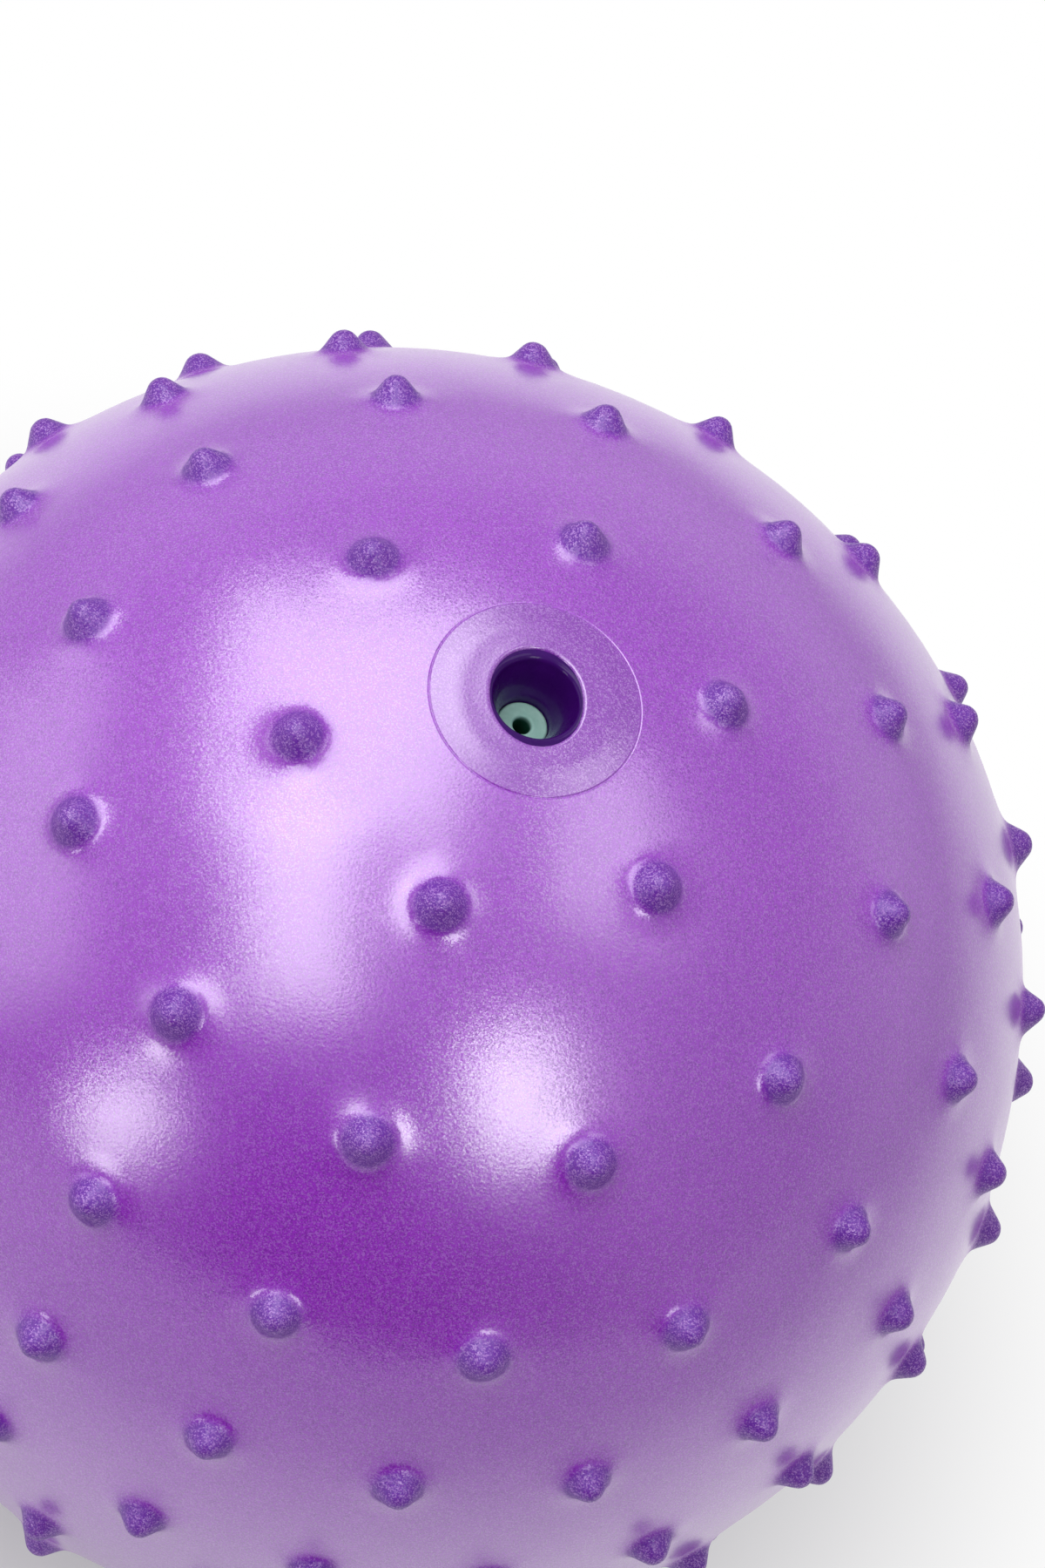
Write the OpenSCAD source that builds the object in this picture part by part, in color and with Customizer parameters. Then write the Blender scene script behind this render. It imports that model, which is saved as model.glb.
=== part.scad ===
// Nubby sensory ball: an inflated skin with moulded nubs, a valve sleeve bonded in its wall and a
// soft needle bung in the sleeve. Millimetres; the origin is the ball's centre and +Z runs out
// along the valve axis.

/* [Ball] */
// Outside diameter of the skin between the nubs
ball_d = 180; // [160:1:200]
// Thickness of the skin's wall
skin_t = 1.6; // [1.2:0.1:2.4]

/* [Nub shape] */
// Height of a nub above the skin
nub_h = 3.4; // [2.8:0.1:4.2]
// Width of a nub where its straight flank would meet the skin
nub_d = 7.6; // [6.8:0.1:8.4]
// Radius of a nub's rounded tip
nub_tip_r = 2.1; // [1.7:0.1:2.4]
// Radius of the hollow fillet round a nub's foot
nub_fillet_r = 2.4; // [1.6:0.1:3.2]

/* [Nub rings] */
// Nubs in the first ring out from the valve
ring1_nubs = 6; // [5:1:7]
// Angle of the first ring from the rings' own axis
ring1_polar = 18.2; // [17:0.1:19]
// Turn of the first ring
ring1_turn = 35.5; // [0:0.5:60]
// Nubs in the second ring
ring2_nubs = 12; // [10:1:13]
// Angle of the second ring
ring2_polar = 37.6; // [36:0.1:39]
// Turn of the second ring
ring2_turn = 8.5; // [0:0.5:30]
// Nubs in the third ring
ring3_nubs = 17; // [15:1:19]
// Angle of the third ring
ring3_polar = 54.4; // [53:0.1:56]
// Turn of the third ring
ring3_turn = 1; // [0:0.5:20]
// Nubs in the fourth ring
ring4_nubs = 21; // [19:1:23]
// Angle of the fourth ring
ring4_polar = 69.2; // [68:0.1:70]
// Turn of the fourth ring
ring4_turn = 1; // [0:0.5:20]
// Nubs in the fifth ring, next to the equator
ring5_nubs = 24; // [20:2:26]
// Angle of the fifth ring
ring5_polar = 83.4; // [83:0.1:84]
// Turn of the fifth ring
ring5_turn = 3; // [0:0.5:15]
// Lean of the rings' axis from the valve axis
ring_lean = 1.8; // [0:0.1:2.5]
// Direction of that lean round the valve axis
ring_lean_dir = 245; // [0:1:359]

/* [Valve pad] */
// Diameter of the fine groove that outlines the valve pad
pad_d = 27.6; // [24:0.2:30]
// Height of the pad's edge above the skin outside the groove
pad_step = 0.3; // [0.2:0.05:0.4]
// Radius of the pad's crown, which is flatter than the ball
pad_crown_r = 140; // [110:5:180]
// Radius of that groove's round section
pad_groove_r = 0.4; // [0.3:0.05:0.5]
// Rounding of the pad's lip into the mouth
lip_r = 0.5; // [0.4:0.1:0.8]

/* [Valve sleeve] */
// Outside diameter of the sleeve
sleeve_d = 12.2; // [11.6:0.1:13.4]
// Wall of the skin's inner collar round the sleeve
collar_t = 2; // [1.4:0.1:3]
// Length of that collar
collar_len = 14; // [10:0.5:15]
// Rounding of the sleeve's own mouth
mouth_r = 0.6; // [0.4:0.1:1]
// Depth of the bung's face below the pad
bung_depth = 8; // [6:0.1:10]
// Rise of the straight seat above the bung's face, where the funnel begins
funnel_rise = 1; // [0.5:0.1:2]
// Thickness of the stop at the sleeve's foot
stop_t = 1.6; // [1.2:0.1:2.4]
// Diameter of the air hole through the stop
stop_hole_d = 4; // [3:0.1:5]

/* [Needle bung] */
// Diameter of the bung
bung_d = 6.8; // [6:0.1:7.4]
// Length of the bung
bung_len = 8.5; // [7:0.1:10]
// Diameter of the needle hole
needle_d = 2.4; // [2:0.1:3]
// Depth of the needle hole
needle_depth = 6.5; // [4:0.1:6.8]
// Chamfer round the bung's ends
bung_chamfer = 0.4; // [0.2:0.1:0.6]
// Radial clearance of the bung in its seat
bung_fit = 0.05; // [0.02:0.01:0.1]
// Gap left between the bung's foot and the stop
seat_gap = 0.3; // [0.2:0.05:0.5]

/* [Hidden] */
$fn = 48;
ball_r = ball_d / 2;
inner_r = ball_r - skin_t;
rings = [
  [ring1_nubs, ring1_polar, ring1_turn],
  [ring2_nubs, ring2_polar, ring2_turn],
  [ring3_nubs, ring3_polar, ring3_turn],
  [ring4_nubs, ring4_polar, ring4_turn],
  [ring5_nubs, ring5_polar, ring5_turn],
];
half_step = 180 / ring5_nubs;

// Height of the skin over the equator plane at radius r from the valve axis.
function skin_z(r) = sqrt(ball_r * ball_r - r * r);

// Nub section. Its tip and fillet cross the flank at a slight angle instead of touching it.
cross_a = 10;
root = skin_t * 0.6;
tip_z = nub_h - nub_tip_r;
foot_r = nub_d / 2;
flank_a = atan(tip_z / foot_r) + asin(nub_tip_r * cos(cross_a) / norm([foot_r, tip_z]));
top_z = tip_z + nub_tip_r * cos(cross_a) * cos(flank_a) + nub_tip_r * sin(cross_a) * sin(flank_a) * 0.5;
top_r = foot_r - top_z / tan(flank_a);
flare_drop = pow(foot_r + nub_fillet_r / 3, 2) / ball_d;
fillet_z = nub_fillet_r * cos(cross_a) - flare_drop;
fillet_x = foot_r + (nub_fillet_r * cos(cross_a) - fillet_z * cos(flank_a)) / sin(flank_a);
flank_z = fillet_z - nub_fillet_r * cos(cross_a) * cos(flank_a);
flank_r = foot_r - flank_z / tan(flank_a);
flare_r = fillet_x - nub_fillet_r * sin(cross_a) * 0.6;

// Valve heights, from the pad down.
pad_r = pad_d / 2;
groove_z = skin_z(pad_r) + pad_step / 2;
crown_z = skin_z(pad_r) + pad_step - sqrt(pad_crown_r * pad_crown_r - pad_r * pad_r);
sleeve_r = sleeve_d / 2;
pad_z = crown_z + sqrt(pad_crown_r * pad_crown_r - sleeve_r * sleeve_r);
sleeve_top = pad_z - lip_r;
face_z = pad_z - bung_depth;
bung_r = bung_d / 2;
seat_r = bung_r + bung_fit;
foot_z = face_z - bung_len;
stop_z = foot_z - seat_gap;
mouth_z = sleeve_top - mouth_r;
bore_r = sleeve_r - mouth_r * cos(cross_a);
lip_shift = lip_r * (1 - cos(1.6 * cross_a));
collar_r = sleeve_r + collar_t;
collar_top = sqrt(pow(ball_r - skin_t / 2, 2) - collar_r * collar_r);
over = 1;

module nub_cone() {
  rotate_extrude() difference() {
    polygon([
      [0, -root], [flare_r, -root], [flare_r, fillet_z / 2],
      [flank_r, flank_z], [top_r, top_z], [0, top_z],
    ]);
    translate([fillet_x, fillet_z]) circle(r = nub_fillet_r);
  }
}

module nub_tip() {
  translate([0, 0, tip_z]) sphere(r = nub_tip_r);
}

// Stands its child at every nub of the valve half.
module half_field() {
  for (ring = rings)
    for (i = [0 : ring[0] - 1])
      rotate([0, 0, ring[2] + i * 360 / ring[0]])
        rotate([0, ring[1], 0])
          translate([0, 0, ball_r]) children();
}

// The far half mirrors the valve half, turned half a step so that the rows stagger.
module nub_field() {
  rotate([0, 0, ring_lean_dir]) rotate([0, ring_lean, 0]) rotate([0, 0, -ring_lean_dir]) {
    half_field() children();
    rotate([0, 0, half_step]) mirror([0, 0, 1]) half_field() children();
  }
}

// Crowned disc of the valve pad, from inside the wall up to its face.
module pad_disc() {
  rotate_extrude() intersection() {
    translate([0, crown_z]) circle(r = pad_crown_r, $fn = 360);
    translate([0, skin_z(pad_r) - skin_t * 0.3]) square([pad_r, 2 * skin_t]);
  }
}

// Ring taken off the edge of the pad to round its lip into the mouth.
module lip_cut() {
  rotate_extrude() difference() {
    translate([sleeve_r - over, sleeve_top]) square([over + lip_r, 2 * lip_r]);
    translate([sleeve_r + lip_r - lip_shift, sleeve_top - lip_shift]) circle(r = lip_r);
  }
}

module ball_skin() {
  color([0.56, 0.27, 0.72]) difference() {
    union() {
      difference() {
        union() {
          sphere(r = ball_r, $fn = 120);
          nub_field() nub_cone();
          nub_field() nub_tip();
          pad_disc();
        }
        sphere(r = inner_r, $fn = 120);
      }
      translate([0, 0, collar_top - collar_len]) cylinder(r = collar_r, h = collar_len);
    }
    translate([0, 0, ball_r / 2]) cylinder(r = sleeve_r, h = ball_r);
    lip_cut();
    rotate_extrude() translate([pad_r, groove_z]) circle(r = pad_groove_r);
  }
}

module valve_sleeve() {
  color([0.16, 0.05, 0.36]) rotate_extrude() difference() {
    translate([stop_hole_d / 2, stop_z - stop_t])
      square([sleeve_r - stop_hole_d / 2, sleeve_top + over - stop_z + stop_t]);
    polygon([
      [0, stop_z], [seat_r, stop_z], [seat_r, face_z + funnel_rise], [bore_r, mouth_z],
      [bore_r, sleeve_top + 2 * over], [0, sleeve_top + 2 * over],
    ]);
    difference() {
      translate([bore_r - over, mouth_z]) square([sleeve_r, mouth_r + 2 * over]);
      translate([sleeve_r, mouth_z]) circle(r = mouth_r);
    }
  }
}

module valve_bung() {
  color([0.62, 0.84, 0.76]) rotate_extrude() polygon([
    [0, foot_z], [bung_r - bung_chamfer, foot_z], [bung_r, foot_z + bung_chamfer],
    [bung_r, face_z - bung_chamfer], [bung_r - bung_chamfer, face_z],
    [needle_d / 2 + bung_chamfer, face_z], [needle_d / 2, face_z - bung_chamfer],
    [needle_d / 2, face_z - needle_depth], [0, face_z - needle_depth - needle_d / 4],
  ]);
}

ball_skin();
valve_sleeve();
valve_bung();
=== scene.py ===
import math

import bmesh
import bpy
import numpy as np
from mathutils import Matrix, Vector
from mathutils.geometry import delaunay_2d_cdt


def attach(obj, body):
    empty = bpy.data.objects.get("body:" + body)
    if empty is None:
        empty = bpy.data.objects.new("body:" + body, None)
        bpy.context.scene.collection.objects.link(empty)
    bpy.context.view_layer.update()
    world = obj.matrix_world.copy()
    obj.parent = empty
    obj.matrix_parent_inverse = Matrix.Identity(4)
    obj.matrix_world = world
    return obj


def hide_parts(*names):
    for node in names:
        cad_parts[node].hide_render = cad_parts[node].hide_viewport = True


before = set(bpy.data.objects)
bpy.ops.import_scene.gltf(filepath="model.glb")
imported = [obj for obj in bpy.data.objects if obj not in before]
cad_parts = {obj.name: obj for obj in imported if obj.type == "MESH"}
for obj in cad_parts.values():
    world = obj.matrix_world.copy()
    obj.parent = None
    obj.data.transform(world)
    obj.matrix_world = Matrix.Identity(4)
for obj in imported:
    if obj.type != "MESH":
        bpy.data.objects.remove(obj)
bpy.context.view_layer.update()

# Sizes in millimetres, angles in degrees. They are the part's own unless a comment says otherwise.
MM = 0.001
BALL_R = 90.0
SKIN_T = 1.6
RINGS = (  # nubs in the ring, angle from the rings' axis, turn of the first nub
    (6, 18.2, 35.5),
    (12, 37.6, 8.5),
    (17, 54.4, 1.0),
    (21, 69.2, 1.0),
    (24, 83.4, 3.0),
)
RING_LEAN = 1.8
RING_LEAN_DIR = 245.0
HALF_STEP = 180.0 / RINGS[-1][0]

# A nub: round tip, straight flank, fillet and shallow flare. The last two are softer than in the source.
NUB_TALL = 3.4
NUB_TIP_R = 2.1
NUB_FLANK = 50.0
NUB_FILLET_R = 2.1
NUB_FLARE_R = 17.0
NUB_FLARE = 11.0
NUB_FOOT = (2.2, 4.0)  # distances from the nub's axis between which its foot ends

# The valve pad. The edge and groove are fainter than in the source, and the low ridge is only here.
PAD_R = 13.8
PAD_STEP = 0.3
PAD_CROWN_R = 140.0
PAD_EDGE = 0.07
GROOVE_DEPTH = 0.08
GROOVE_W = 0.10
RIDGE_TALL = 0.10
RIDGE_R = 10.3
RIDGE_W = 1.8
PAD_POLAR = 10.0  # angle from the valve's axis at which the rings of the pad meet the rest of the skin

# The mouth. The oval pull on its lip and the sleeve's rolled rim under that lip are only here.
LIP_R = 0.5
OVAL_MEAN = 0.35
OVAL = 0.42
OVAL_TURN = 115.0
OVAL_REACH = 3.0
OVAL_HEIGHTS = (86.0, 88.5)
RIM_R = 7.1
RIM_ROUND = 0.9

# The sleeve, the collar round it and the bung.
SLEEVE_R = 6.1
MOUTH_R = 0.6
FUNNEL_RISE = 1.0
STOP_T = 1.6
STOP_HOLE_R = 2.0
COLLAR_T = 2.0
COLLAR_LEN = 14.0
BUNG_R = 3.4
BUNG_LEN = 8.5
BUNG_DEPTH = 8.0
BUNG_EDGE = 0.4
BUNG_FIT = 0.05
SEAT_GAP = 0.3
NEEDLE_R = 1.2
NEEDLE_DEPTH = 6.5

# Heights of the valve over the ball's centre, and radii that follow from the sizes.
CROWN_Z = math.sqrt(BALL_R**2 - PAD_R**2) + PAD_STEP - math.sqrt(PAD_CROWN_R**2 - PAD_R**2)
PAD_Z = CROWN_Z + math.sqrt(PAD_CROWN_R**2 - SLEEVE_R**2)
SLEEVE_TOP = PAD_Z - LIP_R
FACE_Z = PAD_Z - BUNG_DEPTH
BUNG_FOOT = FACE_Z - BUNG_LEN
STOP_Z = BUNG_FOOT - SEAT_GAP
SEAT_R = BUNG_R + BUNG_FIT
COLLAR_R = SLEEVE_R + COLLAR_T
COLLAR_FOOT = math.sqrt((BALL_R - SKIN_T / 2) ** 2 - COLLAR_R**2) - COLLAR_LEN

# Points of the meshes.
TURNS = 128  # round every revolved form
ARC_POINTS = 40  # along each arc of a nub's outline
FILL_POINTS = 11000  # spread over the ball before those on the pad and the nubs are left out
FILL_POLAR = 13.4  # the spread points start at this angle from the valve's axis
FILL_CLEAR = 9.2  # and this far from the nubs' axes
BAND_CLEAR = 8.2  # the rings between the pad and the spread points keep this far from them
PAD_BANDS = (  # angle from the valve's axis, points, shift
    (PAD_POLAR, TURNS, 0),
    (10.5, TURNS, 0.5),
    (11.2, 96, 0),
    (12.3, 64, 0.5),
)
NUB_BANDS = (  # distance from the nub's axis, points
    (0.45, 8), (0.9, 14), (1.3, 18), (1.65, 22),
    (2.0, 24), (2.4, 24), (2.7, 24), (3.0, 24),
    (3.3, 24), (3.6, 24), (3.95, 24), (4.4, 22),
    (5.0, 20), (5.8, 18), (6.7, 16), (7.7, 14),
)

# How far nubs differ from one another, and the waves of the uneven skin.
RISE_SPREAD = 0.035
WIDE_SPREAD = 0.03
TILT_SPREAD = 0.045
SPREAD_LIMIT = 1.6
WAVES = 26
WAVE_LENGTHS = (16, 55)
WAVE_SLOPE = 0.0030

rng = np.random.default_rng(11)


def smooth(x, low, high):
    """0 below low, 1 above high and an even ease between."""
    t = np.clip((np.asarray(x, float) - low) / (high - low), 0, 1)
    return t * t * (3 - 2 * t)


# The nubs and the shape of the skin


def turn_z(degrees):
    """A turn about the valve's axis."""
    return np.array(Matrix.Rotation(math.radians(degrees), 3, "Z"))


def nub_axes():
    """Unit directions of all nubs: the valve half, then its mirror image turned by half a step."""
    half = []
    for count, polar, turn in RINGS:
        p = math.radians(polar)
        for i in range(count):
            a = math.radians(turn + 360 * i / count)
            half.append((math.sin(p) * math.cos(a), math.sin(p) * math.sin(a), math.cos(p)))
    half = np.array(half)
    far = (half * (1, 1, -1)) @ turn_z(HALF_STEP).T
    lean = np.array(Matrix.Rotation(math.radians(RING_LEAN), 3, "Y"))
    lean = turn_z(RING_LEAN_DIR) @ lean @ turn_z(-RING_LEAN_DIR)
    return np.vstack((half, far)) @ lean.T


def nub_profile():
    """Distance from the nub's axis and height over the ball, from the tip to where the flare ends."""
    flank = math.radians(NUB_FLANK)
    flare = math.radians(NUB_FLARE)
    tip = np.linspace(0, flank, ARC_POINTS)
    fillet = np.linspace(flank, flare, ARC_POINTS)
    rim = np.linspace(flare, 0, ARC_POINTS)
    tip_out = NUB_TIP_R * np.sin(tip)
    tip_up = -NUB_TIP_R * (1 - np.cos(tip))
    fillet_out = NUB_FILLET_R * (math.sin(flank) - np.sin(fillet))
    fillet_up = NUB_FILLET_R * (math.cos(flank) - np.cos(fillet))
    rim_out = NUB_FLARE_R * (math.sin(flare) - np.sin(rim))
    rim_up = NUB_FLARE_R * (math.cos(flare) - np.cos(rim))
    straight = NUB_TALL + (tip_up[-1] + fillet_up[-1] + rim_up[-1])
    out = np.concatenate((tip_out, tip_out[-1] + straight / math.tan(flank) + fillet_out))
    up = np.concatenate((tip_up, tip_up[-1] - straight + fillet_up))
    out = np.concatenate((out, out[-1] + rim_out))
    up = np.concatenate((up, up[-1] + rim_up))
    return out, up - up[-1]


NUBS = nub_axes()
NUB_OUT, NUB_UP = nub_profile()
NUB_RISE = 1 + RISE_SPREAD * rng.standard_normal(len(NUBS)).clip(-SPREAD_LIMIT, SPREAD_LIMIT)
NUB_WIDE = 1 + WIDE_SPREAD * rng.standard_normal(len(NUBS)).clip(-SPREAD_LIMIT, SPREAD_LIMIT)
NUB_TILT = np.cross(NUBS, rng.standard_normal(NUBS.shape)) * TILT_SPREAD
WAVE_K = rng.standard_normal((WAVES, 3))
WAVE_K *= (2 * math.pi / rng.uniform(*WAVE_LENGTHS, WAVES) / np.linalg.norm(WAVE_K, axis=1))[:, None]
WAVE_PHASE = rng.uniform(0, 2 * math.pi, WAVES)
WAVE_A = WAVE_SLOPE / np.linalg.norm(WAVE_K, axis=1)


def ripple(ways):
    """Slight unevenness of a blown-up skin, in millimetres over the ball. It dies out at the valve pad."""
    polar = np.degrees(np.arccos(np.clip(ways[:, 2], -1, 1)))
    waves = np.sin(BALL_R * ways @ WAVE_K.T + WAVE_PHASE) @ WAVE_A
    return smooth(polar, PAD_POLAR, PAD_POLAR + 4) * waves


def skin_points(ways):
    """Points of the outer skin in the given directions, how far up a nub each lies and how near its foot."""
    dots = ways @ NUBS.T
    nearest = dots.argmax(1)
    away = BALL_R * np.arccos(np.clip(dots[np.arange(len(ways)), nearest], -1, 1))
    up = NUB_RISE[nearest] * np.interp(away / NUB_WIDE[nearest], NUB_OUT, NUB_UP)
    points = ways * (BALL_R + up + ripple(ways))[:, None] + NUB_TILT[nearest] * up[:, None]
    return points, up / NUB_UP[0], 1 - smooth(away, *NUB_FOOT)


# Mesh builders


def circle(count, shift=0.0):
    """Points of a flat circle of radius 1. The shift is in steps between points."""
    a = 2 * math.pi * (np.arange(count) + shift) / count
    return np.stack((np.cos(a), np.sin(a)), 1)


def nub_distance(ways):
    """Distance of each direction from the nearest nub's axis, along the ball."""
    return BALL_R * np.arccos((ways @ NUBS.T).max(1).clip(-1, 1))


def outer_directions():
    """Directions of the outer skin's points. The first TURNS of them ring the valve pad."""
    bands = []
    for polar, count, shift in PAD_BANDS:
        p = math.radians(polar)
        ring = circle(count, shift) * math.sin(p)
        bands.append(np.column_stack((ring, np.full(count, math.cos(p)))))
    i = np.arange(FILL_POINTS) + 0.5
    p = np.arccos(1 - 2 * i / FILL_POINTS)
    a = math.pi * (1 + math.sqrt(5)) * i
    fill = np.stack((np.cos(a) * np.sin(p), np.sin(a) * np.sin(p), np.cos(p)), 1)
    fill = fill[p > math.radians(FILL_POLAR)]
    fill = fill[nub_distance(fill) > FILL_CLEAR]
    discs = []
    for axis in NUBS:
        side = np.cross(axis, (0.31, -0.22, 0.92))
        side /= np.linalg.norm(side)
        basis = np.stack((side, np.cross(axis, side)))
        discs.append(axis[None])
        for row, (away, count) in enumerate(NUB_BANDS):
            ring = circle(count, 0.5 * (row % 2)) @ basis
            discs.append(axis * math.cos(away / BALL_R) + ring * math.sin(away / BALL_R))
    between = np.vstack(bands[1:])
    between = between[nub_distance(between) > BAND_CLEAR]
    return np.vstack([bands[0], between, fill] + discs)


def triangles(ways):
    """Triangles between directions on the ball, in the flat picture seen from the valve's pole."""
    scale = 1 / (1 - ways[:, 2])
    flat = [Vector((x, y)) for x, y in ways[:, :2] * scale[:, None]]
    _, _, faces, source, _, _ = delaunay_2d_cdt(flat, [], [], 0, 1e-9)
    return [[source[corner][0] for corner in face] for face in faces]


def make_piece(name, points, faces, material, sharp=38.0, **values):
    """A smooth-shaded closed mesh, in metres, from points in millimetres. The values go on its points."""
    mesh = bpy.data.meshes.new(name)
    mesh.from_pydata([tuple(p) for p in np.asarray(points) * MM], [], faces)
    bm = bmesh.new()
    bm.from_mesh(mesh)
    bmesh.ops.recalc_face_normals(bm, faces=bm.faces)
    bm.to_mesh(mesh)
    bm.free()
    mesh.shade_smooth()
    mesh.set_sharp_from_angle(angle=math.radians(sharp))
    for key, value in values.items():
        attribute = mesh.attributes.new(key, "FLOAT", "POINT")
        attribute.data.foreach_set("value", value.astype(np.float32))
    mesh.materials.append(material)
    piece = bpy.data.objects.new(name, mesh)
    bpy.context.scene.collection.objects.link(piece)
    return piece


def revolve(profile, points=(), faces=(), first=None, loop=False):
    """Adds rings of points for a profile of (radius, height), joined in order. A radius of 0 is one point.
    first names a ring of points that is already there and that the profile goes on from."""
    points = list(points)
    faces = list(faces)
    turn = circle(TURNS)
    rings = [list(first)] if first is not None else []
    for r, z in profile:
        base = len(points)
        if r == 0:
            points.append((0.0, 0.0, z))
            rings.append([base])
        else:
            points.extend((r * x, r * y, z) for x, y in turn)
            rings.append(list(range(base, base + TURNS)))
    pairs = list(zip(rings, rings[1:]))
    if loop:
        pairs.append((rings[-1], rings[0]))
    for a, b in pairs:
        for i in range(TURNS):
            j = (i + 1) % TURNS
            face = [a[i % len(a)], a[j % len(a)], b[j % len(b)], b[i % len(b)]]
            faces.append(list(dict.fromkeys(face)))
    return points, faces


def arc(middle_r, middle_z, radius, start, end, count):
    """Points of a profile on an arc, from one angle to another."""
    angles = np.radians(np.linspace(start, end, count))
    return [(middle_r + radius * math.cos(t), middle_z + radius * math.sin(t)) for t in angles]


# Shader helpers


def add(tree, kind, inputs=None, **settings):
    """A shader node with its settings, and with values or links on its inputs."""
    node = tree.nodes.new(kind)
    for key, value in settings.items():
        setattr(node, key, value)
    for key, value in (inputs or {}).items():
        if isinstance(value, bpy.types.NodeSocket):
            tree.links.new(value, node.inputs[key])
        else:
            node.inputs[key].default_value = value
    return node


def math_node(tree, operation, a, b, clamp=False):
    return add(tree, "ShaderNodeMath", {0: a, 1: b}, operation=operation, use_clamp=clamp).outputs[0]


def vector_node(tree, operation, a, b=None):
    values = {0: a}
    if b is not None:
        values["Scale" if operation == "SCALE" else 1] = b
    return add(tree, "ShaderNodeVectorMath", values, operation=operation).outputs[0]


def length_node(tree, vector):
    return add(tree, "ShaderNodeVectorMath", {0: vector}, operation="LENGTH").outputs["Value"]


def ranged(tree, value, low, high, to_low, to_high):
    """The value taken from one range to another with an even ease, and held at its ends."""
    inputs = {"Value": value, "From Min": low, "From Max": high, "To Min": to_low, "To Max": to_high}
    return add(tree, "ShaderNodeMapRange", inputs, interpolation_type="SMOOTHSTEP").outputs[0]


def mixed(tree, share, a, b):
    """The colour a with a share of the colour b."""
    return add(tree, "ShaderNodeMix", {0: share, 6: a, 7: b}, data_type="RGBA").outputs[2]


def noise(tree, at, scale, detail=2.0, rough=0.5, distortion=0.0):
    inputs = {"Vector": at, "Scale": scale, "Detail": detail, "Roughness": rough, "Distortion": distortion}
    return add(tree, "ShaderNodeTexNoise", inputs).outputs["Fac"]


def patches(tree, *noise_values):
    """Soft patches from 0 to 1."""
    return ranged(tree, noise(tree, *noise_values), 0.3, 0.7, 0.0, 1.0)


def bumped(tree, strength, distance, height):
    return add(tree, "ShaderNodeBump", {"Strength": strength, "Distance": distance, "Height": height})


def point_value(tree, name):
    return add(tree, "ShaderNodeAttribute", attribute_name=name).outputs["Fac"]


def empty_tree(owner):
    """The node tree of a material or world, cleared."""
    owner.use_nodes = True
    owner.node_tree.nodes.clear()
    return owner.node_tree


def new_material(name, **values):
    """A material with one Principled shader, and with values on the shader's own sockets."""
    material = bpy.data.materials.new(name)
    tree = empty_tree(material)
    shader = add(tree, "ShaderNodeBsdfPrincipled")
    add(tree, "ShaderNodeOutputMaterial", {"Surface": shader.outputs[0]})
    for key, value in values.items():
        shader.inputs[key.replace("_", " ")].default_value = value
    return material, tree, shader


def feed(tree, shader, **links):
    for key, socket in links.items():
        tree.links.new(socket, shader.inputs[key.replace("_", " ")])


# Materials


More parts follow.
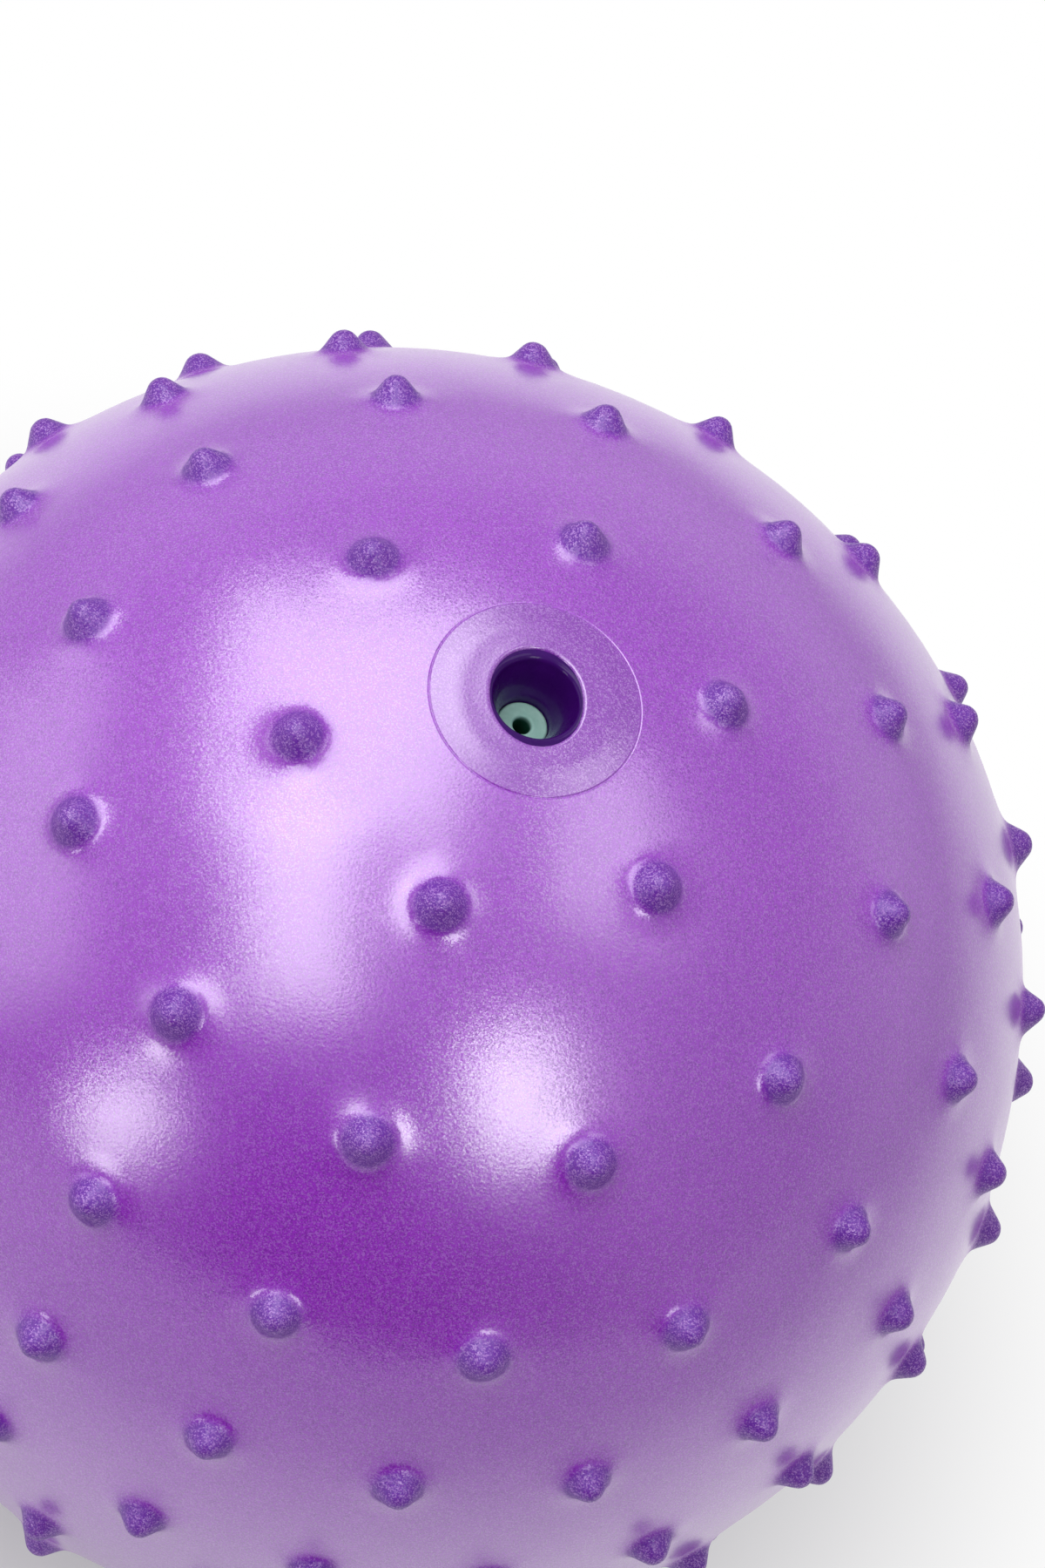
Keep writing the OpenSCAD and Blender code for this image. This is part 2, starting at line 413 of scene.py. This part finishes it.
def pearl_skin():
    """Violet PVC full of fine pearl flakes. The nubs are deeper in colour, duller and more sparkling; part of
    that sparkle is painted glints in the base colour.
    """
    material, tree, shader = new_material("pearl_pvc", Metallic=0.05, Coat_Roughness=0.22, Coat_IOR=2.5)
    at = add(tree, "ShaderNodeTexCoord").outputs["Object"]
    normal = add(tree, "ShaderNodeNewGeometry").outputs["Normal"]
    height = point_value(tree, "nub_height")
    foot = point_value(tree, "nub_foot")
    pad = point_value(tree, "valve_pad")

    # Each flake leans its own way, more so on the nubs.
    flakes = add(tree, "ShaderNodeTexVoronoi", {"Vector": at, "Scale": 6200.0}).outputs["Color"]
    flake = add(tree, "ShaderNodeSeparateColor", {0: flakes}).outputs
    lean = vector_node(tree, "SUBTRACT", flakes, (0.5, 0.5, 0.5))
    lean = vector_node(tree, "SCALE", lean, ranged(tree, height, 0.05, 0.34, 0.055, 0.36))
    leaning = vector_node(tree, "NORMALIZE", vector_node(tree, "ADD", normal, lean))

    # Violet in soft clouds, mottled, greyer on the pad and deeper on the nubs.
    cloud = patches(tree, at, 34.0, 3.0, 0.55)
    mottle = patches(tree, at, 420.0, 2.0)
    colour = mixed(tree, cloud, (0.41, 0.020, 0.74, 1), (0.45, 0.028, 0.79, 1))
    colour = mixed(tree, math_node(tree, "MULTIPLY", mottle, 0.2), colour, (0.32, 0.012, 0.60, 1))
    colour = mixed(tree, math_node(tree, "MULTIPLY", pad, 0.6), colour, (0.26, 0.022, 0.52, 1))
    colour = mixed(tree, ranged(tree, height, 0.02, 0.34, 0.0, 0.9), colour, (0.13, 0.012, 0.40, 1))

    # Dark and bright flakes in that colour. The bright flakes are partly lighter pigment and partly painted
    # glints, with more of them on the nubs and the pad.
    dark = ranged(tree, flake[1], 0.45, 1.0, 0.0, 0.7)
    colour = mixed(tree, dark, colour, (0.20, 0.008, 0.42, 1))
    flake_and_glint_share = ranged(tree, height, 0.05, 0.6, 0.40, 0.68)
    flake_and_glint_share = math_node(tree, "ADD", flake_and_glint_share, math_node(tree, "MULTIPLY", pad, 0.15))
    bright_flake_and_glint = math_node(tree, "MULTIPLY", ranged(tree, flake[0], 0.5, 1.0, 0.0, 1.0), flake_and_glint_share)
    colour = mixed(tree, bright_flake_and_glint, colour, (0.66, 0.34, 0.92, 1))

    # Rubbed patches, and a thinner coat on the nubs and at their feet.
    rub = ranged(tree, noise(tree, at, 60.0, 5.0, 0.62, 0.8), 0.45, 0.75, 0.0, 0.06)
    rough = math_node(tree, "ADD", ranged(tree, height, 0.05, 0.34, 0.42, 0.50), rub)
    thin_foot = ranged(tree, foot, 0.1, 0.9, 1.0, 0.6)
    thin_nub = ranged(tree, height, 0.02, 0.24, 1.0, 0.35)
    cover = math_node(tree, "MULTIPLY", thin_foot, thin_nub)
    bump = bumped(tree, 0.2, 0.0001, noise(tree, at, 2600.0, 2.0))
    tree.links.new(leaning, bump.inputs["Normal"])
    grain = bump.outputs[0]
    feed(tree, shader, Base_Color=colour, Roughness=rough, Coat_Weight=cover, Normal=grain, Coat_Normal=grain)
    return material


def gloss_neck():
    """Dark violet moulding, polished, with a faint unevenness of its own."""
    material, tree, shader = new_material("gloss_violet", IOR=1.22, Coat_Weight=0.30, Coat_Roughness=0.05)
    at = add(tree, "ShaderNodeTexCoord").outputs["Object"]
    cloud = patches(tree, at, 260.0, 3.0)
    colour = mixed(tree, cloud, (0.040, 0.002, 0.125, 1), (0.052, 0.003, 0.155, 1))
    rough = ranged(tree, noise(tree, at, 700.0, 3.0), 0.3, 0.7, 0.24, 0.32)
    bump = bumped(tree, 0.12, 0.0002, noise(tree, at, 520.0, 2.0))
    feed(tree, shader, Base_Color=colour, Roughness=rough, Normal=bump.outputs[0])
    return material


def mint_rubber():
    """Soft mint rubber with a fine matt grain, and shade painted dark green down its needle hole."""
    material, tree, shader = new_material(
        "mint_rubber",
        IOR=1.48,
        Subsurface_Weight=0.12,
        Subsurface_Scale=0.002,
        Subsurface_Radius=(0.4, 0.9, 0.7),
    )
    at = add(tree, "ShaderNodeTexCoord").outputs["Object"]
    place = add(tree, "ShaderNodeSeparateXYZ", {0: at}).outputs
    cloud = patches(tree, at, 900.0, 3.0)
    colour = mixed(tree, cloud, (0.34, 0.62, 0.53, 1), (0.42, 0.70, 0.61, 1))
    flat = add(tree, "ShaderNodeCombineXYZ", {0: place[0], 1: place[1]}).outputs[0]
    # Painted shade: the colour goes dark green down inside the needle hole, where shade falls.
    hole_shade = ranged(tree, length_node(tree, flat), NEEDLE_R * MM, (NEEDLE_R + 0.35) * MM, 1.0, 0.0)
    depth = ranged(tree, place[2], (FACE_Z - 1.2) * MM, (FACE_Z - 0.1) * MM, 1.0, 0.0)
    colour = mixed(tree, math_node(tree, "MULTIPLY", hole_shade, depth), colour, (0.012, 0.11, 0.065, 1))
    rough = ranged(tree, noise(tree, at, 1500.0, 2.0), 0.3, 0.7, 0.42, 0.58)
    bump = bumped(tree, 0.25, 0.0001, noise(tree, at, 2400.0, 3.0))
    feed(tree, shader, Base_Color=colour, Roughness=rough, Normal=bump.outputs[0])
    return material


# The pieces


def pad_height(r):
    """Height at radius r: the ball, the fine line round the valve pad and the pad's slightly wavy face."""
    ball = np.sqrt(BALL_R**2 - r**2)
    edge = math.sqrt(BALL_R**2 - PAD_R**2) + PAD_EDGE
    pad = PAD_Z - (PAD_Z - edge) * (r**2 - SLEEVE_R**2) / (PAD_R**2 - SLEEVE_R**2)
    pad = pad + RIDGE_TALL * np.exp(-(((r - RIDGE_R) / RIDGE_W) ** 2))
    z = pad + (ball - pad) * smooth(r, PAD_R - 0.15, PAD_R + 0.05)
    return z - GROOVE_DEPTH * np.exp(-(((r - PAD_R - 0.08) / GROOVE_W) ** 2))


def oval_mouth(points):
    """Pulls the round lip of the mouth into its slightly oval shape."""
    points = np.array(points)
    lip = SLEEVE_R + LIP_R
    r = np.maximum(np.hypot(points[:, 0], points[:, 1]), 1e-9)
    turn = np.arctan2(points[:, 1], points[:, 0]) - math.radians(OVAL_TURN)
    share = (1 - smooth(r, lip, lip + OVAL_REACH)) * smooth(points[:, 2], *OVAL_HEIGHTS)
    points[:, :2] *= (1 + share * (OVAL_MEAN + OVAL * np.cos(2 * turn)) / r)[:, None]
    return points


def build_skin():
    """The outer skin with its nubs, then the pad, the lip, the collar and the inside in one run of rings."""
    ways = outer_directions()
    points, height, foot = skin_points(ways)
    faces = triangles(ways)
    lip = SLEEVE_R + LIP_R
    rows = (np.linspace(15.3, 14.5, 3), np.linspace(14.3, 13.5, 25), np.linspace(13.3, lip + 0.2, 18))
    profile = [(r, float(pad_height(r))) for r in np.concatenate(rows)]
    profile += arc(lip, float(pad_height(lip)) - LIP_R, LIP_R, 90, 180, 10)
    profile += [(SLEEVE_R, z) for z in (88.4, 87.5, 86.5, 82.0, COLLAR_FOOT + 0.4)]
    profile += [(SLEEVE_R + 0.4, COLLAR_FOOT), (COLLAR_R - 0.4, COLLAR_FOOT), (COLLAR_R, COLLAR_FOOT + 0.4)]
    inner = BALL_R - SKIN_T
    polar = np.linspace(math.asin(COLLAR_R / inner), math.pi, 40)
    profile += [(inner * math.sin(p), inner * math.cos(p)) for p in polar[:-1]]
    profile += [(0, -inner)]
    points, faces = revolve(profile, points, faces, first=range(TURNS))
    points = oval_mouth(points)
    plain = np.zeros(len(points) - len(height))
    from_axis = np.hypot(points[:, 0], points[:, 1])
    values = {
        "nub_height": np.concatenate((height, plain)),
        "nub_foot": np.concatenate((foot, plain)),
        "valve_pad": (1 - smooth(from_axis, PAD_R - 0.3, PAD_R + 0.1)) * (points[:, 2] > 0),
    }
    return make_piece("skin_shell", points, faces, pearl_skin(), **values)


def build_sleeve():
    """The funnel neck with its rolled rim, the bung's seat and the stop plate."""
    outer = SLEEVE_R - 0.01
    foot = STOP_Z - STOP_T
    top = SLEEVE_TOP + 0.2
    bore = SLEEVE_R - MOUTH_R
    profile = [(outer, z) for z in (foot + 0.3, 78.0, 84.0, top - 1.2)]
    profile += [(RIM_R, top - 0.9), (RIM_R, top - 0.25), (RIM_R - 0.2, top - 0.05)]
    profile += arc(bore + RIM_ROUND, top - RIM_ROUND, RIM_ROUND, 90, 172, 14)
    start = np.array(profile[-1])
    end = np.array((SEAT_R, FACE_Z + FUNNEL_RISE))
    profile += [tuple(start + (end - start) * t) for t in np.linspace(0, 1, 12)[1:]]
    profile += [(SEAT_R, z) for z in (82.0, 78.0, STOP_Z + 0.2)]
    profile += [(SEAT_R - 0.2, STOP_Z), (STOP_HOLE_R + 0.2, STOP_Z), (STOP_HOLE_R, STOP_Z - 0.2)]
    profile += [(STOP_HOLE_R, foot + 0.2), (STOP_HOLE_R + 0.2, foot), (outer - 0.3, foot)]
    points, faces = revolve(profile, loop=True)
    return make_piece("valve_neck", points, faces, gloss_neck())


def build_bung():
    """The bung, from the middle of its foot up its side and over its slightly hollow face into the hole."""
    edge = BUNG_EDGE
    profile = [(0, BUNG_FOOT), (BUNG_R - edge, BUNG_FOOT)]
    profile += arc(BUNG_R - edge, BUNG_FOOT + edge, edge, -75, 0, 6)
    profile += [(BUNG_R, 76.0), (BUNG_R, 79.0)]
    profile += arc(BUNG_R - edge, FACE_Z - edge, edge, 0, 84, 7)
    profile += [(r, FACE_Z - 0.06 * (1 - ((r - 2.3) / 0.9) ** 2)) for r in np.linspace(2.9, 1.75, 7)]
    profile += arc(NEEDLE_R + edge, FACE_Z - edge, edge, 96, 180, 8)
    profile += [(NEEDLE_R, FACE_Z - depth) for depth in (1.5, 3.5, NEEDLE_DEPTH)]
    profile += [(0, FACE_Z - NEEDLE_DEPTH - NEEDLE_R / 2)]
    points, faces = revolve(profile)
    return make_piece("needle_bung", points, faces, mint_rubber())


for piece, node, body, slot in (
    (build_skin(), "ball_skin", "ball", "skin"),
    (build_sleeve(), "valve_sleeve", "ball", "sleeve"),
    (build_bung(), "valve_bung", "bung", "bung"),
):
    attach(piece, body)
    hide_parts(node)

# Floor, light and camera, in metres

FLOOR_Z = -(BALL_R + 0.2) * MM
FLOOR_R = 5.0
GLOW_POOL_MIDDLE = (0.0, 0.16, 0.0)  # middle of the floor's painted pool of white glow, behind the ball


def seen_rays(tree):
    """1 for rays from the camera, off a glossy face or through glass, and 0 for the rest."""
    path = add(tree, "ShaderNodeLightPath").outputs
    some = math_node(tree, "ADD", path["Is Camera Ray"], path["Is Glossy Ray"])
    return math_node(tree, "ADD", some, path["Is Transmission Ray"], clamp=True)


def pale_floor():
    """A pale matt floor with a share of plain white glow. The share drops under the ball, where its shadow
    falls. Elsewhere it is a painted pool of light: full behind the ball, fading to grey round it and rising a
    little far out, where the lamps don't reach."""
    material = bpy.data.materials.new("pale_floor")
    tree = empty_tree(material)
    at = add(tree, "ShaderNodeTexCoord").outputs["Object"]
    tone = mixed(tree, noise(tree, at, 6.0, 3.0), (0.50, 0.50, 0.51, 1), (0.54, 0.54, 0.54, 1))
    lit = add(tree, "ShaderNodeBsdfDiffuse", {"Color": tone}).outputs[0]
    white = add(tree, "ShaderNodeEmission", {"Color": (1, 1, 1, 1), "Strength": 1.0}).outputs[0]
    from_ball = length_node(tree, at)
    from_middle = length_node(tree, vector_node(tree, "SUBTRACT", at, GLOW_POOL_MIDDLE))
    share = math_node(tree, "MULTIPLY", seen_rays(tree), ranged(tree, from_ball, 0.04, 0.16, 0.25, 1.0))
    # Painted pool of light: the white glow is full behind the ball, fades to grey round it and rises a little
    # far out.
    glow_pool = ranged(tree, from_middle, 0.20, 0.60, 1.0, 0.14)
    glow_pool = math_node(tree, "ADD", glow_pool, ranged(tree, from_middle, 0.50, 2.0, 0.0, 0.34))
    share = math_node(tree, "MULTIPLY", share, glow_pool)
    both = add(tree, "ShaderNodeMixShader", {0: share, 1: lit, 2: white})
    add(tree, "ShaderNodeOutputMaterial", {"Surface": both.outputs[0]})
    return material


def build_floor():
    bm = bmesh.new()
    bmesh.ops.create_circle(bm, cap_ends=True, segments=96, radius=FLOOR_R)
    mesh = bpy.data.meshes.new("floor")
    bm.to_mesh(mesh)
    bm.free()
    mesh.materials.append(pale_floor())
    floor = bpy.data.objects.new("floor", mesh)
    floor.location = (0, 0, FLOOR_Z)
    bpy.context.scene.collection.objects.link(floor)


def softbox(name, place, width, length, radiance, turn=0.0):
    """A soft rectangular lamp that faces the ball."""
    lamp = bpy.data.lights.new(name, "AREA")
    lamp.shape = "RECTANGLE"
    lamp.size = width
    lamp.size_y = length
    lamp.energy = radiance * math.pi * width * length
    holder = bpy.data.objects.new(name, lamp)
    aim = Vector(place).to_track_quat("Z", "Y").to_matrix()
    aim = aim @ Matrix.Rotation(math.radians(turn), 3, "Z")
    holder.matrix_world = Matrix.Translation(place) @ aim.to_4x4()
    holder.visible_camera = False
    bpy.context.scene.collection.objects.link(holder)


def build_world():
    """A dim grey room, darkest on the camera's side and lighter low down behind the ball."""
    world = bpy.data.worlds.new("studio")
    bpy.context.scene.world = world
    tree = empty_tree(world)
    way = add(tree, "ShaderNodeTexCoord").outputs["Generated"]
    way = add(tree, "ShaderNodeSeparateXYZ", {0: way}).outputs
    behind = ranged(tree, way[1], 0.0, 0.7, 0.0, 1.0)
    low = ranged(tree, way[2], 0.10, 0.50, 0.32, 0.0)
    level = ranged(tree, way[1], -0.95, -0.25, 0.010, 0.31)
    level = math_node(tree, "ADD", level, math_node(tree, "MULTIPLY", behind, low))
    glow = add(tree, "ShaderNodeBackground", {"Color": (1, 1, 1, 1), "Strength": level})
    add(tree, "ShaderNodeOutputWorld", {"Surface": glow.outputs[0]})


def build_camera():
    """The camera at the photo's viewing angle."""
    camera = bpy.data.cameras.new("camera")
    camera.sensor_fit = "VERTICAL"
    camera.sensor_height = 36.0
    camera.lens = 116.61
    camera.clip_start = 0.02
    camera.clip_end = 30.0
    holder = bpy.data.objects.new("camera", camera)
    right = Vector((0.883354, 0.403095, 0.239166))
    up = Vector((-0.468674, 0.765642, 0.440610))
    back = right.cross(up)
    turn = Matrix((right, up, back)).transposed().to_4x4()
    holder.matrix_world = Matrix.Translation((0.0, -0.33081, 0.63950)) @ turn
    bpy.context.scene.collection.objects.link(holder)
    bpy.context.scene.camera = holder


build_floor()
build_world()
build_camera()
softbox("key_top", (-0.42, 0.23, 0.87), 0.84, 0.72, 2.2, 42)
softbox("key_low", (-0.33, -0.41, 0.93), 0.60, 0.36, 2.6, -30)
softbox("side_box", (0.46, -0.48, 0.71), 0.24, 0.35, 4.2)
softbox("low_box", (-0.43, -0.82, 0.29), 0.20, 0.29, 3.8)
softbox("top_fill", (0.34, 0.20, 0.88), 0.50, 0.34, 1.3)
softbox("left_fill", (-0.90, -0.23, 0.27), 0.87, 0.42, 0.8)
bpy.context.scene.view_settings.view_transform = "Standard"
